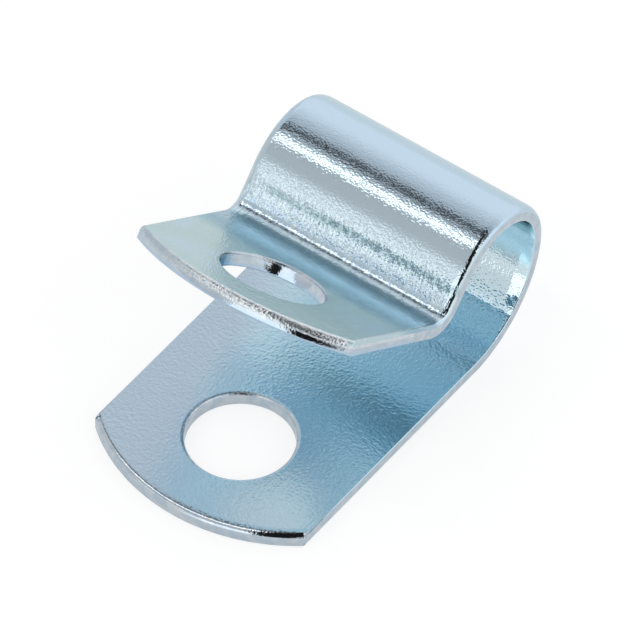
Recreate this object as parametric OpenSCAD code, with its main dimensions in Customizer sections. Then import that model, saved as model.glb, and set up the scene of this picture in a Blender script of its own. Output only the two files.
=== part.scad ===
// P clip: one strap of zinc plated sheet steel, punched flat and folded into an open loop.
// The underside of the leg lies on Z = 0 with the middle of its hole at the origin.
// The leg runs along +Y to the loop, and the strap's width lies along X.

/* [Strap] */
// Width of the strap
strap_w = 15; // [12:0.5:20]
// Thickness of the sheet
sheet_t = 0.9; // [0.7:0.05:1.2]
// Radius of the rounded ends of the leg and the tab
end_r = 11.8; // [11:0.1:16]

/* [Fixing holes] */
// Diameter of both holes, clearance for an M6 screw
hole_d = 6.4; // [4.3:0.1:6.6]
// Rim that the punch draws over, round the holes and the rounded ends
roll_r = 0.15; // [0.05:0.05:0.25]

/* [Leg] */
// Middle of the hole to the tip of the leg
leg_tip = 6.55; // [6:0.05:8]
// Middle of the hole to the start of the loop
leg_run = 12.35; // [10:0.05:20]

/* [Loop] */
// Inner radius of the wide bend at the back of the loop, a quarter turn
seat_r = 5.7; // [5:0.05:8]
// Inner radius of the bend over the top, which holds the cable
crown_r = 3.55; // [3:0.05:4.5]
// Slope of the flank that comes down from the top
flank_slope = 48.5; // [35:0.5:55]
// Straight length of the flank
flank_run = 1.4; // [1:0.1:3]

/* [Tab] */
// Bend radius at the root of the tab, on the upper face
root_r = 1.75; // [1:0.05:2.5]
// Slope of the tab, which stands open until the screw pulls it down
tab_slope = 35; // [25:0.5:40]
// Root bend to the middle of the hole
tab_run = 6; // [5:0.1:9]
// Middle of the hole to the tip of the tab
tab_tip = 5.7; // [5.5:0.05:8]

/* [Hidden] */
$fn = 180;
// height of the middle of both loop bends
loop_z = sheet_t + seat_r;
// middle of the bend over the top, which meets the back bend at the widest point of the loop
crown_y = leg_run + seat_r - crown_r;
// middle of the root bend, seen from the middle of the top bend along the flank
root_z = crown_r + sheet_t + root_r;
// lap between two pieces of the same bend that are drawn in turned frames
lap = 15;
// turn that each punched end's cutter reaches over
end_turn = 100;

// Sector that holds a bend of up to half a turn
module sector(a, r) polygon([[0, 0], for (k = [0:6]) r * [cos(k * a / 6), sin(k * a / 6)]]);

// Sheet bent round the origin, inner radius r, from the X axis through the angle a
module bend(r, a) intersection() {
    difference() {
        circle(r + sheet_t);
        circle(r);
    }
    sector(a, 2 * (r + sheet_t));
}

// Flat sheet of length len that ends at the Y axis, with its near face at height y
module flat(len, y) translate([-len, y]) square([len, sheet_t]);

// Side view of the strap, with Y of the clip across the page and Z up it
module side_view() {
    translate([leg_run, 0]) flat(leg_run + leg_tip, 0);
    translate([leg_run, loop_z]) rotate(-90) bend(seat_r, 90);
    translate([crown_y, loop_z]) {
        bend(crown_r, flank_slope + lap);
        rotate(flank_slope) {
            bend(crown_r, 90);
            flat(flank_run, crown_r);
            translate([-flank_run, root_z]) {
                rotate(-90) mirror([0, 1]) bend(root_r, flank_slope);
                rotate(-flank_slope - tab_slope) {
                    rotate(-90) bend(root_r, tab_slope + lap);
                    flat(tab_run + tab_tip, -root_r - sheet_t);
                }
            }
        }
    }
}

// Places what is drawn round the leg's hole round the tab's hole
module on_tab()
    translate([0, crown_y, loop_z]) rotate([flank_slope, 0, 0])
        translate([0, -flank_run, root_z]) rotate([-flank_slope - tab_slope, 0, 0])
            translate([0, -tab_run, -root_r - sheet_t]) children();

// Quarter of waste left outside a drawn-over rim, which curves away from the point r on the upper face
module rim_waste(r, side) translate([r, sheet_t - roll_r]) difference() {
    translate([side > 0 ? 0 : -roll_r, 0]) square([roll_r, roll_r + 1]);
    translate([side * roll_r, 0]) circle(roll_r);
}

// Punched hole on the Z axis
module hole_cut() rotate_extrude() {
    translate([0, -1]) square([hole_d / 2, sheet_t + 2]);
    rim_waste(hole_d / 2, 1);
}

// What the punch takes off round the rounded end whose tip is at Y = -tip
module end_cut(tip) translate([0, end_r - tip, 0])
    rotate(-90 - end_turn / 2) rotate_extrude(angle = end_turn) {
        translate([end_r, -1]) square([strap_w / 2, sheet_t + 2]);
        rim_waste(end_r, -1);
    }

module strap() color("lightsteelblue") difference() {
    rotate([90, 0, 90]) linear_extrude(strap_w, center = true) side_view();
    hole_cut();
    end_cut(leg_tip);
    on_tab() {
        hole_cut();
        end_cut(tab_tip);
    }
}

strap();
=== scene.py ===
import math

import bmesh
import bpy
from mathutils import Matrix, Vector


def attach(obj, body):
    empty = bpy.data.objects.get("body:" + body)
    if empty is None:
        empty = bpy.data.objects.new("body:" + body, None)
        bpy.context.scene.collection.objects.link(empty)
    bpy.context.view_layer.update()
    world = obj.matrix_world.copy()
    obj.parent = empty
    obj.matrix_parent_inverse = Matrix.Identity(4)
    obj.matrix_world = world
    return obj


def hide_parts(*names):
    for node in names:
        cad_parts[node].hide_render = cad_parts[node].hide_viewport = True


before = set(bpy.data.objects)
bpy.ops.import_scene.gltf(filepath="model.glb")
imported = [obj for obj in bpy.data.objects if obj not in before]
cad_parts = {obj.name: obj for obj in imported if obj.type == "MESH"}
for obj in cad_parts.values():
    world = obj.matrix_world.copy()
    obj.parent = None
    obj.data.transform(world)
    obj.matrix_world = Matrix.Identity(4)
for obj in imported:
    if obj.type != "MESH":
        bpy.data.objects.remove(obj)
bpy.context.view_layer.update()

MM = 0.001
deg = math.radians

# The strap's sizes, as the solid has them
WIDTH, THICK, END_R, HOLE_R = 15 * MM, 0.9 * MM, 11.8 * MM, 3.2 * MM
LEG_TIP, LEG_RUN = 6.55 * MM, 12.35 * MM
SEAT_R, CROWN_R, ROOT_R = 5.7 * MM, 3.55 * MM, 1.75 * MM
FLANK_SLOPE, FLANK_RUN = deg(48.5), 1.4 * MM
TAB_SLOPE, TAB_RUN, TAB_TIP = deg(35), 6 * MM, 5.7 * MM
TURN = FLANK_SLOPE + TAB_SLOPE

# Radii that the long edges are rounded to, on the outer face and on the inner one
OUTER_ROLL, INNER_ROLL = 0.3 * MM, 0.07 * MM
# Radii of the rounded end and of the hole, on the underside and on top, while the leg and the tab lie flat
LEG_END_ROLLS, LEG_HOLE_ROLLS = (0.1 * MM, 0.4 * MM), (0.06 * MM, 0.28 * MM)
TAB_END_ROLLS, TAB_HOLE_ROLLS = (0.14 * MM, 0.36 * MM), (0.1 * MM, 0.14 * MM)
# Radius of the corners between an end and the sides, and the largest radius of all
CORNER_ROLL, LARGEST_ROLL = 0.08 * MM, 0.4 * MM
# How many times wider folding has drawn the outer face's rolled edges round the loop, and the inner ones at its back,
# and the steps in which that is done
DRAWN, PRESSED, DRAW_STEPS = 2.2, 6, 16

# Middles of the three bends, as (y, z), and the directions out of the flank and down it
SEAT = Vector((LEG_RUN, THICK + SEAT_R))
CROWN = SEAT + Vector((SEAT_R - CROWN_R, 0))
OUTWARD = Vector((-math.sin(FLANK_SLOPE), math.cos(FLANK_SLOPE)))
DOWNHILL = Vector((-math.cos(FLANK_SLOPE), -math.sin(FLANK_SLOPE)))
ROOT = CROWN + (CROWN_R + THICK + ROOT_R) * OUTWARD + FLANK_RUN * DOWNHILL
# The root is folded tight by the flank and eases out towards the tab: radius and turn of each part
TIGHT_R, TIGHT_TURN, EASE_R = 0.85 * MM, deg(48), 1.2 * MM
# Lengths from where the lines of the tab and the flank cross: to the end of the eased bend, and to the start of the
# tight one
TAB_CORNER = (TIGHT_R * (1 - math.cos(TIGHT_TURN))
              + EASE_R * (math.cos(TIGHT_TURN) - math.cos(TURN))) / math.sin(TURN)
FLANK_CORNER = (TIGHT_R * math.sin(TIGHT_TURN) + EASE_R * (math.sin(TURN) - math.sin(TIGHT_TURN))
                - TAB_CORNER * math.cos(TURN))
FLANK = FLANK_RUN + ROOT_R * math.tan(TURN / 2) - FLANK_CORNER
TIGHT = CROWN + (CROWN_R + THICK + TIGHT_R) * OUTWARD + FLANK * DOWNHILL
EASE = TIGHT + (EASE_R - TIGHT_R) * Vector((math.sin(TIGHT_TURN - FLANK_SLOPE), math.cos(TIGHT_TURN - FLANK_SLOPE)))
# Directions out of the tab's top and along it to its tip, and the middle of its hole on its underside
TAB_UP = Vector((math.sin(TAB_SLOPE), math.cos(TAB_SLOPE)))
TAB_OUT = Vector((-math.cos(TAB_SLOPE), math.sin(TAB_SLOPE)))
TAB_HOLE = ROOT - (ROOT_R + THICK) * TAB_UP + TAB_RUN * TAB_OUT

# How finely the bends, the punched curves and the rolled edges are made
SEAT_STEPS, CROWN_STEPS, TIGHT_STEPS, EASE_STEPS = 30, 48, 24, 12
END_SIDES, HOLE_SIDES, ROLL_SEGMENTS = 288, 128, 6
# Lean of each length of the flank from its slope, in degrees, which add up to nothing
FLANK_LEANS = (-0.8, -0.4, 0.8, 2.4, 2.2, 0.2, -1.4, -1.6, -1.4)
# Edges that fold further than this are rounded
SHARP = deg(45)
# Sheet left past the tip for the end punch to take off, and the height over which a cut edge is on the tab
WASTE, TAB_LEVEL = MM, 5 * MM
# What counts as near, as touching and as one point
NEAR, TOUCHING, ONE_POINT = 0.01 * MM, 0.001 * MM, 0.004 * MM


# ---------------------------------------------------------------- camera

def set_camera():
    cam = bpy.data.objects.new("camera", bpy.data.cameras.new("camera"))
    bpy.context.collection.objects.link(cam)
    right = Vector((0.8037323, 0.5948678, 0.0121113))
    up = Vector((-0.4487797, 0.5927351, 0.6687764))
    back = Vector((0.3906548, -0.5429525, 0.7433650))
    place = Vector((0.28212876, -0.38455516, 0.540923))
    cam.matrix_world = Matrix.Translation(place) @ Matrix((right, up, back)).transposed().to_4x4()
    cam.data.sensor_width = 36
    cam.data.lens = 710.34
    cam.data.clip_start, cam.data.clip_end = 0.02, 20
    bpy.context.scene.camera = cam


# ---------------------------------------------------------------- making the strap

def select_only(*pieces):
    """Selects these pieces and no others, and makes the first one active."""
    bpy.ops.object.select_all(action="DESELECT")
    for piece in pieces:
        piece.select_set(True)
    if pieces:
        bpy.context.view_layer.objects.active = pieces[0]


def pick(kind, test):
    """In edit mode, selects only the faces, edges or vertices that pass the test."""
    mesh = bmesh.from_edit_mesh(bpy.context.object.data)
    bpy.ops.mesh.select_all(action="DESELECT")
    bpy.ops.mesh.select_mode(type={"faces": "FACE", "edges": "EDGE", "verts": "VERT"}[kind])
    for part in getattr(mesh, kind):
        part.select_set(bool(test(part)))
    mesh.select_flush_mode()
    bmesh.update_edit_mesh(bpy.context.object.data)


def middle(edge):
    return (edge.verts[0].co + edge.verts[1].co) / 2


def cut(piece, cutter, operation):
    """Cuts the piece with a cutter and throws the cutter away."""
    select_only(piece)
    tool = piece.modifiers.new("cut", "BOOLEAN")
    tool.operation, tool.solver, tool.object = operation, "EXACT", cutter
    bpy.ops.object.modifier_apply(modifier="cut")
    bpy.data.objects.remove(cutter)


def punch(radius, y, sides):
    """Round punch that goes well through the flat sheet."""
    select_only()
    bpy.ops.mesh.primitive_cylinder_add(vertices=sides, radius=radius, depth=6 * THICK, location=(0, y, THICK / 2))
    bpy.ops.object.transform_apply()
    return bpy.context.object


def roll(radius, test):
    """Marks the sharp edges that pass the test, to be rounded to this radius."""
    pick("edges", lambda e: len(e.link_faces) == 2 and e.calc_face_angle() > SHARP and test(middle(e)))
    # A mark adds to the one before it, so that is taken off first
    bpy.ops.transform.edge_bevelweight(value=-1)
    bpy.ops.transform.edge_bevelweight(value=radius / LARGEST_ROLL)


def flat_end(name, run, tip, long_rolls, end_rolls, hole_rolls):
    """Flat sheet on Z = 0 with its hole round the origin: a rounded tip at -Y, open at +Y where the loop joins.
    The rolls are the radii of its lower and upper edges: the long ones, the rounded end's and the hole's."""
    select_only()
    bpy.ops.mesh.primitive_cube_add(size=1, location=(0, (run - tip - WASTE) / 2, THICK / 2),
                                    scale=(WIDTH, run + tip + WASTE, THICK))
    bpy.ops.object.transform_apply()
    sheet = bpy.context.object
    sheet.name = name
    # A line through the middle of the hole keeps every face simple once it is punched
    bpy.ops.object.mode_set(mode="EDIT")
    bpy.ops.mesh.select_all(action="SELECT")
    bpy.ops.mesh.bisect(plane_co=(0, 0, 0), plane_no=(0, 1, 0))
    bpy.ops.object.mode_set(mode="OBJECT")
    cut(sheet, punch(END_R, END_R - tip, END_SIDES), "INTERSECT")
    cut(sheet, punch(HOLE_R, 0, HOLE_SIDES), "DIFFERENCE")
    bpy.ops.object.mode_set(mode="EDIT")
    pick("faces", lambda f: f.normal.y > 0.99 and f.calc_center_median().y > run - NEAR)
    bpy.ops.mesh.delete(type="FACE")
    for upper in (0, 1):
        level = upper * THICK
        roll(end_rolls[upper], lambda p: abs(p.z - level) < NEAR)
        roll(hole_rolls[upper], lambda p: abs(p.z - level) < NEAR and p.xy.length < HOLE_R + NEAR)
        roll(long_rolls[upper], lambda p: abs(p.z - level) < NEAR and abs(p.x) > WIDTH / 2 - TOUCHING)
    roll(CORNER_ROLL, lambda p: 0.4 * THICK < p.z < 0.6 * THICK)
    bpy.ops.object.mode_set(mode="OBJECT")
    return sheet


def inside_loop(p):
    """Whether a point on an edge of the loop is on its inner face, towards the cable."""
    place = p.yz
    downhill = (place - CROWN).dot(DOWNHILL)
    if place.x > SEAT.x and place.y < SEAT.y:
        return (place - SEAT).length < SEAT_R + THICK / 2
    if downhill < 0:
        return (place - CROWN).length < CROWN_R + THICK / 2
    if downhill < FLANK:
        return (place - CROWN).dot(OUTWARD) < CROWN_R + THICK / 2
    return (place - TIGHT).length > TIGHT_R + THICK / 2 and (place - EASE).length > EASE_R + THICK / 2


def fold_loop():
    """Loop of the strap, folded from a section of sheet at the end of the leg to the root of the tab."""
    select_only()
    bpy.ops.mesh.primitive_plane_add(size=1, location=(0, LEG_RUN, THICK / 2), rotation=(deg(90), 0, 0))
    loop = bpy.context.object
    loop.name = "loop"
    loop.scale = (WIDTH, THICK, 1)
    bpy.ops.object.transform_apply()
    bpy.ops.object.mode_set(mode="EDIT")
    bpy.ops.mesh.select_all(action="SELECT")
    bpy.ops.mesh.spin(steps=SEAT_STEPS, angle=-deg(90), center=(0, *SEAT), axis=(1, 0, 0))
    bpy.ops.mesh.spin(steps=CROWN_STEPS, angle=-(deg(90) + FLANK_SLOPE), center=(0, *CROWN), axis=(1, 0, 0))
    length = FLANK / len(FLANK_LEANS)
    for lean in FLANK_LEANS:
        slope = FLANK_SLOPE + deg(lean)
        downhill = (0, -length * math.cos(slope), -length * math.sin(slope))
        bpy.ops.mesh.extrude_region_move(TRANSFORM_OT_translate={"value": downhill})
    bpy.ops.mesh.spin(steps=TIGHT_STEPS, angle=TIGHT_TURN, center=(0, *TIGHT), axis=(1, 0, 0))
    bpy.ops.mesh.spin(steps=EASE_STEPS, angle=TURN - TIGHT_TURN, center=(0, *EASE), axis=(1, 0, 0))
    # Both open ends lose their cap: the last section, which is still selected, and the first
    bpy.ops.mesh.delete(type="FACE")
    pick("faces", lambda f: abs(f.calc_center_median().y - LEG_RUN) < TOUCHING and f.calc_center_median().z < THICK)
    bpy.ops.mesh.delete(type="FACE")
    bpy.ops.mesh.select_all(action="SELECT")
    bpy.ops.mesh.normals_make_consistent(inside=False)
    roll(OUTER_ROLL, lambda p: not inside_loop(p))
    roll(INNER_ROLL, inside_loop)
    bpy.ops.object.mode_set(mode="OBJECT")
    return loop


def drawn_in(p):
    """How far the outer edge at a point of the strap is drawn in, from 0 on the leg and the tab to 1 on the loop."""
    if p.z < 2 * MM and p.y < LEG_RUN:
        return 0
    if p.z < SEAT.y and p.y > CROWN.x - 2 * MM:
        return 1 + math.atan2(p.z - SEAT.y, p.y - SEAT.x) / deg(90)
    lead, fade = 0.6 * MM, 1.4 * MM
    return (p.y - ROOT.x + lead) / fade


def pressed_in(p):
    """The same for the inner edges, pressed broad at the back of the loop: wholly within 35 degrees of a place
    20 degrees below its widest, and not at all past 57 degrees from there."""
    if p.y < CROWN.x:
        return 0
    round_seat = math.degrees(math.atan2(p.z - SEAT.y, p.y - SEAT.x))
    return 2.6 - abs(round_seat + 20) / 22


def draw_in_edges(inner, times, how_far):
    """Widens the rolled edges of one face of the strap, step by step, as far as folding has drawn them in."""
    reach = 3 * OUTER_ROLL
    for step in range(DRAW_STEPS):
        least = (step + 0.5) / DRAW_STEPS
        for side in (-1, 1):
            pick("verts", lambda v: v.co.x * side > WIDTH / 2 - reach and how_far(v.co) > least
                 and inside_loop(v.co) == inner)
            bpy.ops.transform.resize(value=(times ** (1 / DRAW_STEPS), 1, 1), center_override=(side * WIDTH / 2, 0, 0))


def sheared(face):
    """Whether a face was cut by the slitter or the punch: a side of the strap, a hole's wall or a rounded end."""
    place, normal = face.calc_center_median(), face.normal
    if abs(normal.x) > 0.9 and abs(place.x) > WIDTH / 2 - NEAR:
        return True
    up, height, flat = Vector((0, 1)), place.z, place.y < LEG_RUN
    if place.z > TAB_LEVEL:
        up, height, flat = TAB_UP, (place.yz - TAB_HOLE).dot(TAB_UP), place.y < EASE.x - 2 * MM
    tilt = abs(normal.yz.dot(up))
    on_long_roll = abs(place.x) > WIDTH / 2 - 0.4 * MM and abs(normal.x) > abs(normal.y) and tilt > 0.2
    return flat and -0.1 * MM < height < THICK + 0.1 * MM and tilt < 0.93 and not on_long_roll


def inward(face):
    """Whether a face is on the strap's inner side: the top of the leg, the inside of the loop or under the tab."""
    place, normal = face.calc_center_median().yz, face.normal.yz
    downhill = (place - CROWN).dot(DOWNHILL)
    if place.x < SEAT.x and place.y < 2 * THICK:
        return normal.y > 0
    if place.x > SEAT.x and place.y < SEAT.y:
        return normal.dot(place - SEAT) < 0
    if downhill >= FLANK:
        return normal.y < 0
    if downhill > 0:
        return normal.dot(OUTWARD) < 0
    return normal.dot(place - CROWN) < 0


def make_strap():
    leg = flat_end("leg", LEG_RUN, LEG_TIP, (OUTER_ROLL, INNER_ROLL), LEG_END_ROLLS, LEG_HOLE_ROLLS)
    tab_run = TAB_RUN + ROOT_R * math.tan(TURN / 2) - TAB_CORNER
    tab = flat_end("tab", tab_run, TAB_TIP, (INNER_ROLL, OUTER_ROLL), TAB_END_ROLLS, TAB_HOLE_ROLLS)
    select_only(tab)
    tab.rotation_euler.x = -TAB_SLOPE
    tab.location = (0, *TAB_HOLE)
    bpy.ops.object.transform_apply()
    loop = fold_loop()
    select_only(leg, tab, loop)
    bpy.ops.object.join()
    strap = bpy.context.object
    strap.name = "folded_strap"
    bpy.ops.object.mode_set(mode="EDIT")
    bpy.ops.mesh.select_all(action="SELECT")
    bpy.ops.mesh.remove_doubles(threshold=ONE_POINT)
    bpy.ops.mesh.normals_make_consistent(inside=False)
    bpy.ops.object.mode_set(mode="OBJECT")
    rolled = strap.modifiers.new("rolled edges", "BEVEL")
    rolled.width, rolled.limit_method, rolled.segments = LARGEST_ROLL, "WEIGHT", ROLL_SEGMENTS
    rolled.use_clamp_overlap = False
    bpy.ops.object.modifier_apply(modifier=rolled.name)
    bpy.ops.object.mode_set(mode="EDIT")
    draw_in_edges(False, DRAWN, drawn_in)
    draw_in_edges(True, PRESSED, pressed_in)
    bpy.ops.object.mode_set(mode="OBJECT")
    bpy.ops.object.shade_smooth()
    even = strap.modifiers.new("even shading", "WEIGHTED_NORMAL")
    even.mode, even.weight = "FACE_AREA_WITH_ANGLE", 80
    bpy.ops.object.modifier_apply(modifier=even.name)
    bpy.ops.object.mode_set(mode="EDIT")
    finishes = ((outer_face(), lambda face: True), (inner_face(), inward), (cut_face(), sheared))
    for slot, (finish, test) in enumerate(finishes):
        strap.data.materials.append(finish)
        strap.active_material_index = slot
        pick("faces", test)
        bpy.ops.object.material_slot_assign()
    bpy.ops.object.mode_set(mode="OBJECT")
    return strap


# ---------------------------------------------------------------- finishes

class Value:
    """A shader value that does sums: each operator adds its own Math node."""

    def __init__(self, finish, socket):
        self.finish, self.socket = finish, socket

    def __add__(self, other):
        return self.finish.sum("ADD", self, other)

    def __radd__(self, other):
        return self.finish.sum("ADD", other, self)

    def __sub__(self, other):
        return self.finish.sum("SUBTRACT", self, other)

    def __rsub__(self, other):
        return self.finish.sum("SUBTRACT", other, self)

    def __mul__(self, other):
        return self.finish.sum("MULTIPLY", self, other)

    def __rmul__(self, other):
        return self.finish.sum("MULTIPLY", other, self)

    def __truediv__(self, other):
        return self.finish.sum("DIVIDE", self, other)

    def __rtruediv__(self, other):
        return self.finish.sum("DIVIDE", other, self)

    def __pow__(self, other):
        return self.finish.sum("POWER", self, other)

    def __rpow__(self, other):
        return self.finish.sum("POWER", other, self)


class Finish:
    """Node tree of one finish."""

    def __init__(self, owner):
        owner.use_nodes = True
        self.tree = owner.node_tree
        self.tree.nodes.clear()

    def add(self, kind, settings=None, inputs=None, out=0):
        """Adds a node of a type with its settings, then its sockets' values or links, and gives its output."""
        node = self.tree.nodes.new("ShaderNode" + kind)
        for name, value in (settings or {}).items():
            if name == "stops":
                stops = node.color_ramp.elements
                while len(stops) < len(value):
                    stops.new(0.5)
                for stop, (place, colour) in zip(stops, value):
                    stop.position, stop.color = place, colour
            else:
                setattr(node, name, value)
        for name, value in (inputs or {}).items():
            if isinstance(value, Value):
                self.tree.links.new(value.socket, node.inputs[name])
            else:
                node.inputs[name].default_value = value
        return Value(self, node.outputs[out]) if node.outputs else node

    def sum(self, operation, *numbers):
        return self.add("Math", {"operation": operation}, dict(enumerate(numbers)))

    def ramp(self, value, start, end):
        """0 before start and 1 past end, smooth between them."""
        return self.add("MapRange", {"interpolation_type": "SMOOTHSTEP"},
                        {"Value": value, "From Min": start, "From Max": end})

    def blend(self, factor, a, b):
        """Number a where the factor is 0 and b where it is 1."""
        return self.add("Mix", {"data_type": "FLOAT"}, {0: factor, 2: a, 3: b})

    def mix(self, factor, a, b):
        """The same for colours."""
        return self.add("Mix", {"data_type": "RGBA"}, {0: factor, 6: a, 7: b}, out=2)

    def noise(self, place, scale, detail, **more):
        return self.add("TexNoise", {}, {"Vector": place, "Scale": scale, "Detail": detail, **more})

    def stretched(self, place, scale):
        return self.add("VectorMath", {"operation": "MULTIPLY"}, {0: place, 1: scale})


def srgb(r, g, b):
    """Colour as a paint card gives it, 0 to 255."""
    return tuple(((c / 255 + 0.055) / 1.055) ** 2.4 if c > 10 else c / 255 / 12.92 for c in (r, g, b)) + (1.0,)


def grey(brightness):
    return (brightness, brightness, brightness, 1)


def plating(name):
    """New material with its node tree, and the place on the part in millimetres, whole and as x, y and z."""
    material = bpy.data.materials.new(name)
    f = Finish(material)
    mm = f.stretched(f.add("TexCoord", out=3), (1 / MM, 1 / MM, 1 / MM))
    return (material, f, mm, *(f.add("SeparateXYZ", {}, {0: mm}, out=i) for i in range(3)))


def turned(f, y, z, bend):
    """Angle of a place round the middle of a bend, in degrees: 0 towards +Y and 90 upwards."""
    return f.sum("ARCTAN2", z - bend.y / MM, y - bend.x / MM) * (180 / math.pi)


def measured(y, z, start, way):
    """How far a place is from a start along one direction of the side view, in millimetres."""
    return (y - start.x / MM) * way.x + (z - start.y / MM) * way.y


def metal(f, colour, roughness, relief, depth, rim):
    """Plated steel with a relief of this depth in millimetres, tinted where it is seen edge on."""
    bump = f.add("Bump", {}, {"Height": relief, "Distance": depth * MM, "Strength": 1.0})
    shader = f.add("BsdfPrincipled", {}, {
        "Base Color": colour, "Metallic": 1.0, "Roughness": roughness, "Normal": bump, "Specular Tint": rim})
    f.add("OutputMaterial", {}, {0: shader})


# Tints of the faces and of the cut edges where they are seen edge on
SHEET_RIM, CUT_RIM = (0.88, 0.93, 0.9, 1), (0.96, 0.98, 1, 1)


def outer_face():
    """Blue zinc plating on the outside of the loop and the top of the tab, with drawn lines by the sharp bend; beside
    the bend it carries painted shade, painted light and a painted highlight along the lines.
    """
    material, f, mm, _, y, z = plating("blue zinc, outside")
    sky, teal, steel = srgb(195, 217, 235), srgb(191, 213, 219), srgb(196, 212, 219)
    # Painted shade by the crease, painted light by the root and a painted highlight on the drawn lines, in that order
    painted_crease_shade, painted_root_light, painted_line_highlight = srgb(146, 182, 204), srgb(220, 232, 240), srgb(215, 233, 236)
    speck, rubbed = srgb(214, 230, 232), srgb(150, 180, 190)
    # The tab, the reach of the sharp bend and its very surface, and the front of the loop over the flank
    tab = 1 - f.ramp(y, 8.3, 9.2)
    from_root = ((y - TIGHT.x / MM) ** 2.0 + (z - TIGHT.y / MM) ** 2.0) ** 0.5
    root, bend = 1 - f.ramp(from_root, 1.4, 2.6), 1 - f.ramp(from_root, 0.87, 1.0)
    front = f.ramp(turned(f, y, z, CROWN), 98.0, 118.0) * f.ramp(y, 9.5, 10.5)
    drift = f.noise(mm, 0.2, 2.0)
    peel = f.noise(mm, 8.0, 1.0, Roughness=0.4)
    swell = f.noise(mm, 1.8, 1.0)
    lines = f.noise(f.stretched(mm, (7.0, 1.6, 1.6)), 1.0, 1.0)
    scuff = f.noise(f.stretched(mm, (0.25, 1.0, 1.0)), 1.0, 2.0)
    fleck = f.noise(mm, 7.0, 1.0)
    colour = f.mix(tab * f.ramp(drift, 0.2, 0.5), sky, teal)
    # Painted shade: the tab is coloured a darker blue beside the crease of the sharp bend
    painted_shade_by_crease = f.ramp(y + drift * 2, 5.6, 7.2) * (1 - f.ramp(y, 8.4, 9.0))
    colour = f.mix(painted_shade_by_crease * 0.85, colour, painted_crease_shade)
    colour = f.mix(front * 0.75, colour, steel)
    # Painted light: the tab is coloured paler right by the sharp bend, over its shaded crease
    colour = f.mix(root * tab * 0.2, colour, painted_root_light)
    # The drawn lines are real and also in the relief; their paler colour on the flank is a painted highlight
    colour = f.mix(f.ramp(lines, 0.47, 0.6) * root * (1 - tab) * 0.6, colour, painted_line_highlight)
    colour = f.mix(tab * f.ramp(fleck, 0.56, 0.7) * f.ramp(scuff, 0.45, 0.6) * 0.5, colour, speck)
    # A ragged streak across the flank, where the former rubbed
    down = measured(y, z, CROWN, DOWNHILL) + fleck * 0.4 + scuff * 0.3
    worn = f.ramp(down, 1.05, 1.3) * (1 - f.ramp(down, 1.5, 1.75)) * (1 - tab)
    colour = f.mix(worn * f.ramp(scuff, 0.3, 0.5) * 0.6, colour, rubbed)
    relief = peel * (1 + tab * 0.6 - root * 0.4 + bend * 0.6) + swell * 0.6 + lines * root * 2.5
    metal(f, colour, 0.1 + 0.14 * tab, relief, 0.014, SHEET_RIM)
    return material


def inner_face():
    """Blue zinc plating on the top of the leg, the inside of the loop and the underside of the tab."""
    material, f, mm, x, y, z = plating("blue zinc, inside")
    lavender, cyan, deep = srgb(193, 212, 229), srgb(201, 229, 243), srgb(211, 230, 238)
    leg = 1 - f.ramp(z, 1.0, 3.0)
    patch = f.noise(mm, 0.35, 2.0)
    # The leg's tint goes from lavender to cyan towards +X, in patches, and less so at its end
    tinted = f.ramp(x + y * 0.35 + patch * 6, -1.5, 4.0) * (0.35 + f.ramp(y, -6.5, -2.5) * 0.65)
    colour = f.mix(leg, deep, f.mix(tinted, lavender, cyan))
    cells = f.noise(mm, 4.8, 1.0, Roughness=0.4)
    peel = f.noise(mm, 8.0, 0.0)
    # The sheet starts to fall away just before the rolled rim of its rounded end
    to_end = END_R / MM - (x * x + (y - (END_R - LEG_TIP) / MM) ** 2.0) ** 0.5
    ease = f.ramp(to_end, 0.6, 0.3) * (1 - f.ramp(y, 0, 2.0)) * f.ramp(x, -5.0, 3.0) * 1.5
    # The back of the loop runs flatter over the last of its bend, and its edge at +X was pressed by the former
    back = turned(f, y, z, SEAT)
    flatter = f.sum("MINIMUM", f.sum("MAXIMUM", (-35.7 - back + cells * 1.5) / 17, 0), 1)
    pressed = f.ramp(x, 6.6, 7.3) * f.ramp(back, -48.0, -40.0) * (1 - f.ramp(back, -20.0, -5.0))
    top = f.ramp(back, -50.0, -37.0)
    grain = cells * (0.9 - leg * 0.2 - top * 0.55) + peel * (0.9 - leg * 0.5 - top * 0.45)
    relief = grain - ease * leg - flatter * flatter * 7 - pressed * 5
    metal(f, colour, 0.1 + 0.1 * leg, relief, 0.022, SHEET_RIM)
    return material


def cut_face():
    """Plating over the cut edges of the sheet: paler, burnished by the inner face and torn rough by the outer one."""
    material, f, mm, x, y, z = plating("zinc over cut edges")
    clear, milky, bluish, bright = srgb(184, 199, 211), srgb(201, 210, 217), srgb(180, 203, 224), srgb(234, 239, 242)
    # Height in the sheet and place along it, from the middle of the hole in the leg or in the tab
    on_tab, at_end = f.ramp(z, 5.0, 6.0), 1 - f.ramp(y, 6.2, 6.4)
    height = f.blend(on_tab, z, measured(y, z, TAB_HOLE, TAB_UP))
    along = f.blend(on_tab, y, measured(y, z, TAB_HOLE, TAB_OUT))
    in_hole = 1 - f.ramp((x * x + along * along) ** 0.5, 3.6, 4.0)
    torn_on_tab, torn_on_leg = f.ramp(height - in_hole * 0.25, 0.4, 0.52), 1 - f.ramp(height, 0.3, 0.42)
    broken = torn_on_tab * on_tab + torn_on_leg * (1 - on_tab)
    torn = f.sum("MAXIMUM", broken, in_hole * f.ramp(height, 0.7, 0.78)) * at_end
    open_tear = torn * on_tab * (1 - in_hole) * f.ramp(x, -5.0, 0.0)
    tone = f.noise(mm, 1.6, 3.0)
    grain = f.noise(mm, 8.0, 1.0)
    colour = f.mix(f.ramp(tone, 0.35, 0.65), clear, milky)
    colour = f.mix((1 - f.ramp(height, 0.2, 0.3)) * at_end * on_tab * 0.8, colour, bluish)
    colour = f.mix(open_tear * f.ramp(grain, 0.4, 0.55) * 0.8, colour, bright)
    relief = grain * (0.3 + torn * 0.6 + open_tear * 0.5)
    metal(f, colour, 0.06 + 0.16 * torn, relief, 0.024, CUT_RIM)
    return material


# ---------------------------------------------------------------- studio

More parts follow.
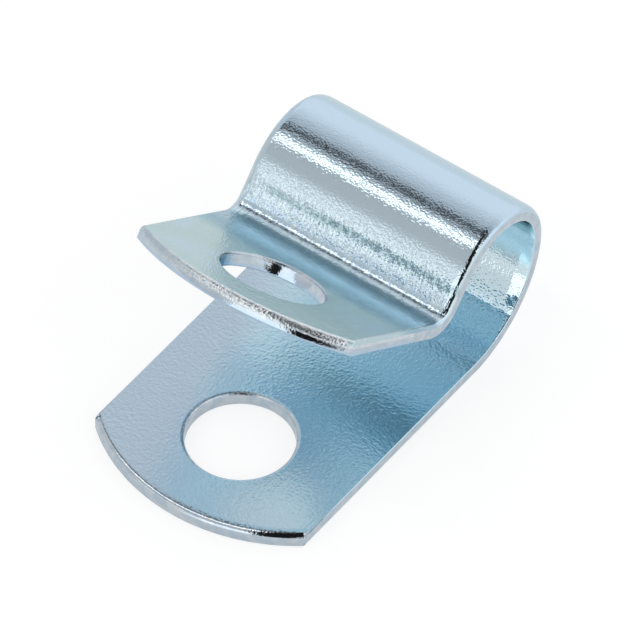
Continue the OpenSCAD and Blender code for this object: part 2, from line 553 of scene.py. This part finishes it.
# Brightness of the studio at each angle over the strap's length, from 0 behind the loop to 180 in front of the tab
LIGHT = ((0, 1.0), (35, 1.0), (45, 0.9), (54, 0.76), (63, 0.66), (70, 0.55), (75.5, 0.4), (77, 0.06), (82.5, 0.06),
         (85.5, 0.35), (92, 0.6), (98, 0.75), (99, 2.4), (106, 2.4), (107.2, 0.55), (112, 0.58), (119, 0.67),
         (131, 0.64), (138, 0.72), (143, 0.85), (146.5, 0.9), (147.5, 1.45), (150.5, 1.45), (152, 0.85), (163, 0.8),
         (180, 0.7))


def seen_directly(f, mirrored):
    """1 for what the camera sees, through glass too, and this much for what the metal mirrors."""
    camera, glossy, glass = (f.add("LightPath", out=f"Is {kind} Ray") for kind in ("Camera", "Glossy", "Transmission"))
    return f.sum("MINIMUM", camera + glossy * mirrored + glass, 1.0)


def set_surroundings():
    world = bpy.data.worlds.new("studio")
    bpy.context.scene.world = world
    f = Finish(world)
    way = f.add("TexCoord", out=0)
    x, y, z = (f.add("SeparateXYZ", {}, {0: way}, out=i) for i in range(3))
    over = f.sum("ARCTAN2", z, y) * (1 / math.pi)
    sky = f.add("ValToRGB", {"stops": [(angle / 180, grey(bright)) for angle, bright in LIGHT]}, {0: over})
    # White screen low in front, white to the right and grey to the left
    screen = f.ramp(x - 0.63 * z, -0.45, -0.41) * f.ramp(z, 0.06, 0.1) * (1 - f.ramp(z, 0.56, 0.62))
    sky = f.mix(screen * f.ramp(over, 0.75, 0.8), sky, grey(1.5))
    sky = f.mix(f.ramp(x, 0.55, 0.65), sky, grey(1.1))
    sky = f.mix(f.ramp(0 - x, 0.62, 0.75), sky, grey(0.76))
    # The dark side where the camera stands, and a small card, so that the leg doesn't mirror it when seen from behind
    near, far = x + 0.31 * y + 0.1 * z, x + 1.07 * y - 0.35 * z
    dark = f.ramp(near, 0.0, 0.05) * (1 - f.ramp(far, -0.05, 0.0)) * f.ramp(z, 0.05, 0.09) * f.ramp(over, 0.4, 0.43)
    card = f.ramp(x * 0.68 - y * 0.68 + z * 0.27, 0.988, 0.995)
    sky = f.mix(dark * (1 - card), sky, grey(0.015))
    # The metal mirrors the white background only as far up as the backdrop goes
    backdrop = 1 - f.ramp(z, 0.0, 0.05)
    studio = f.add("Background", {}, {"Color": sky, "Strength": 1.0})
    white = f.add("Background", {}, {"Color": grey(1), "Strength": 1.0})
    f.add("OutputWorld", {}, {0: f.add("MixShader", {}, {0: seen_directly(f, backdrop), 1: studio, 2: white})})


def lay_floor():
    select_only()
    bpy.ops.mesh.primitive_plane_add(size=6)
    floor = bpy.context.object
    floor.name = "floor"
    paper = bpy.data.materials.new("white paper")
    f = Finish(paper)
    lit = f.add("BsdfDiffuse", {}, {"Color": grey(0.9)})
    glow = f.add("Emission", {}, {"Color": grey(1), "Strength": 1.27})
    f.add("OutputMaterial", {}, {0: f.add("MixShader", {}, {0: seen_directly(f, 0.64) * 0.6, 1: lit, 2: glow})})
    floor.data.materials.append(paper)


set_camera()
strap = make_strap()
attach(strap, "root")
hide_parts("strap")
set_surroundings()
lay_floor()
bpy.context.scene.view_settings.view_transform = "Standard"
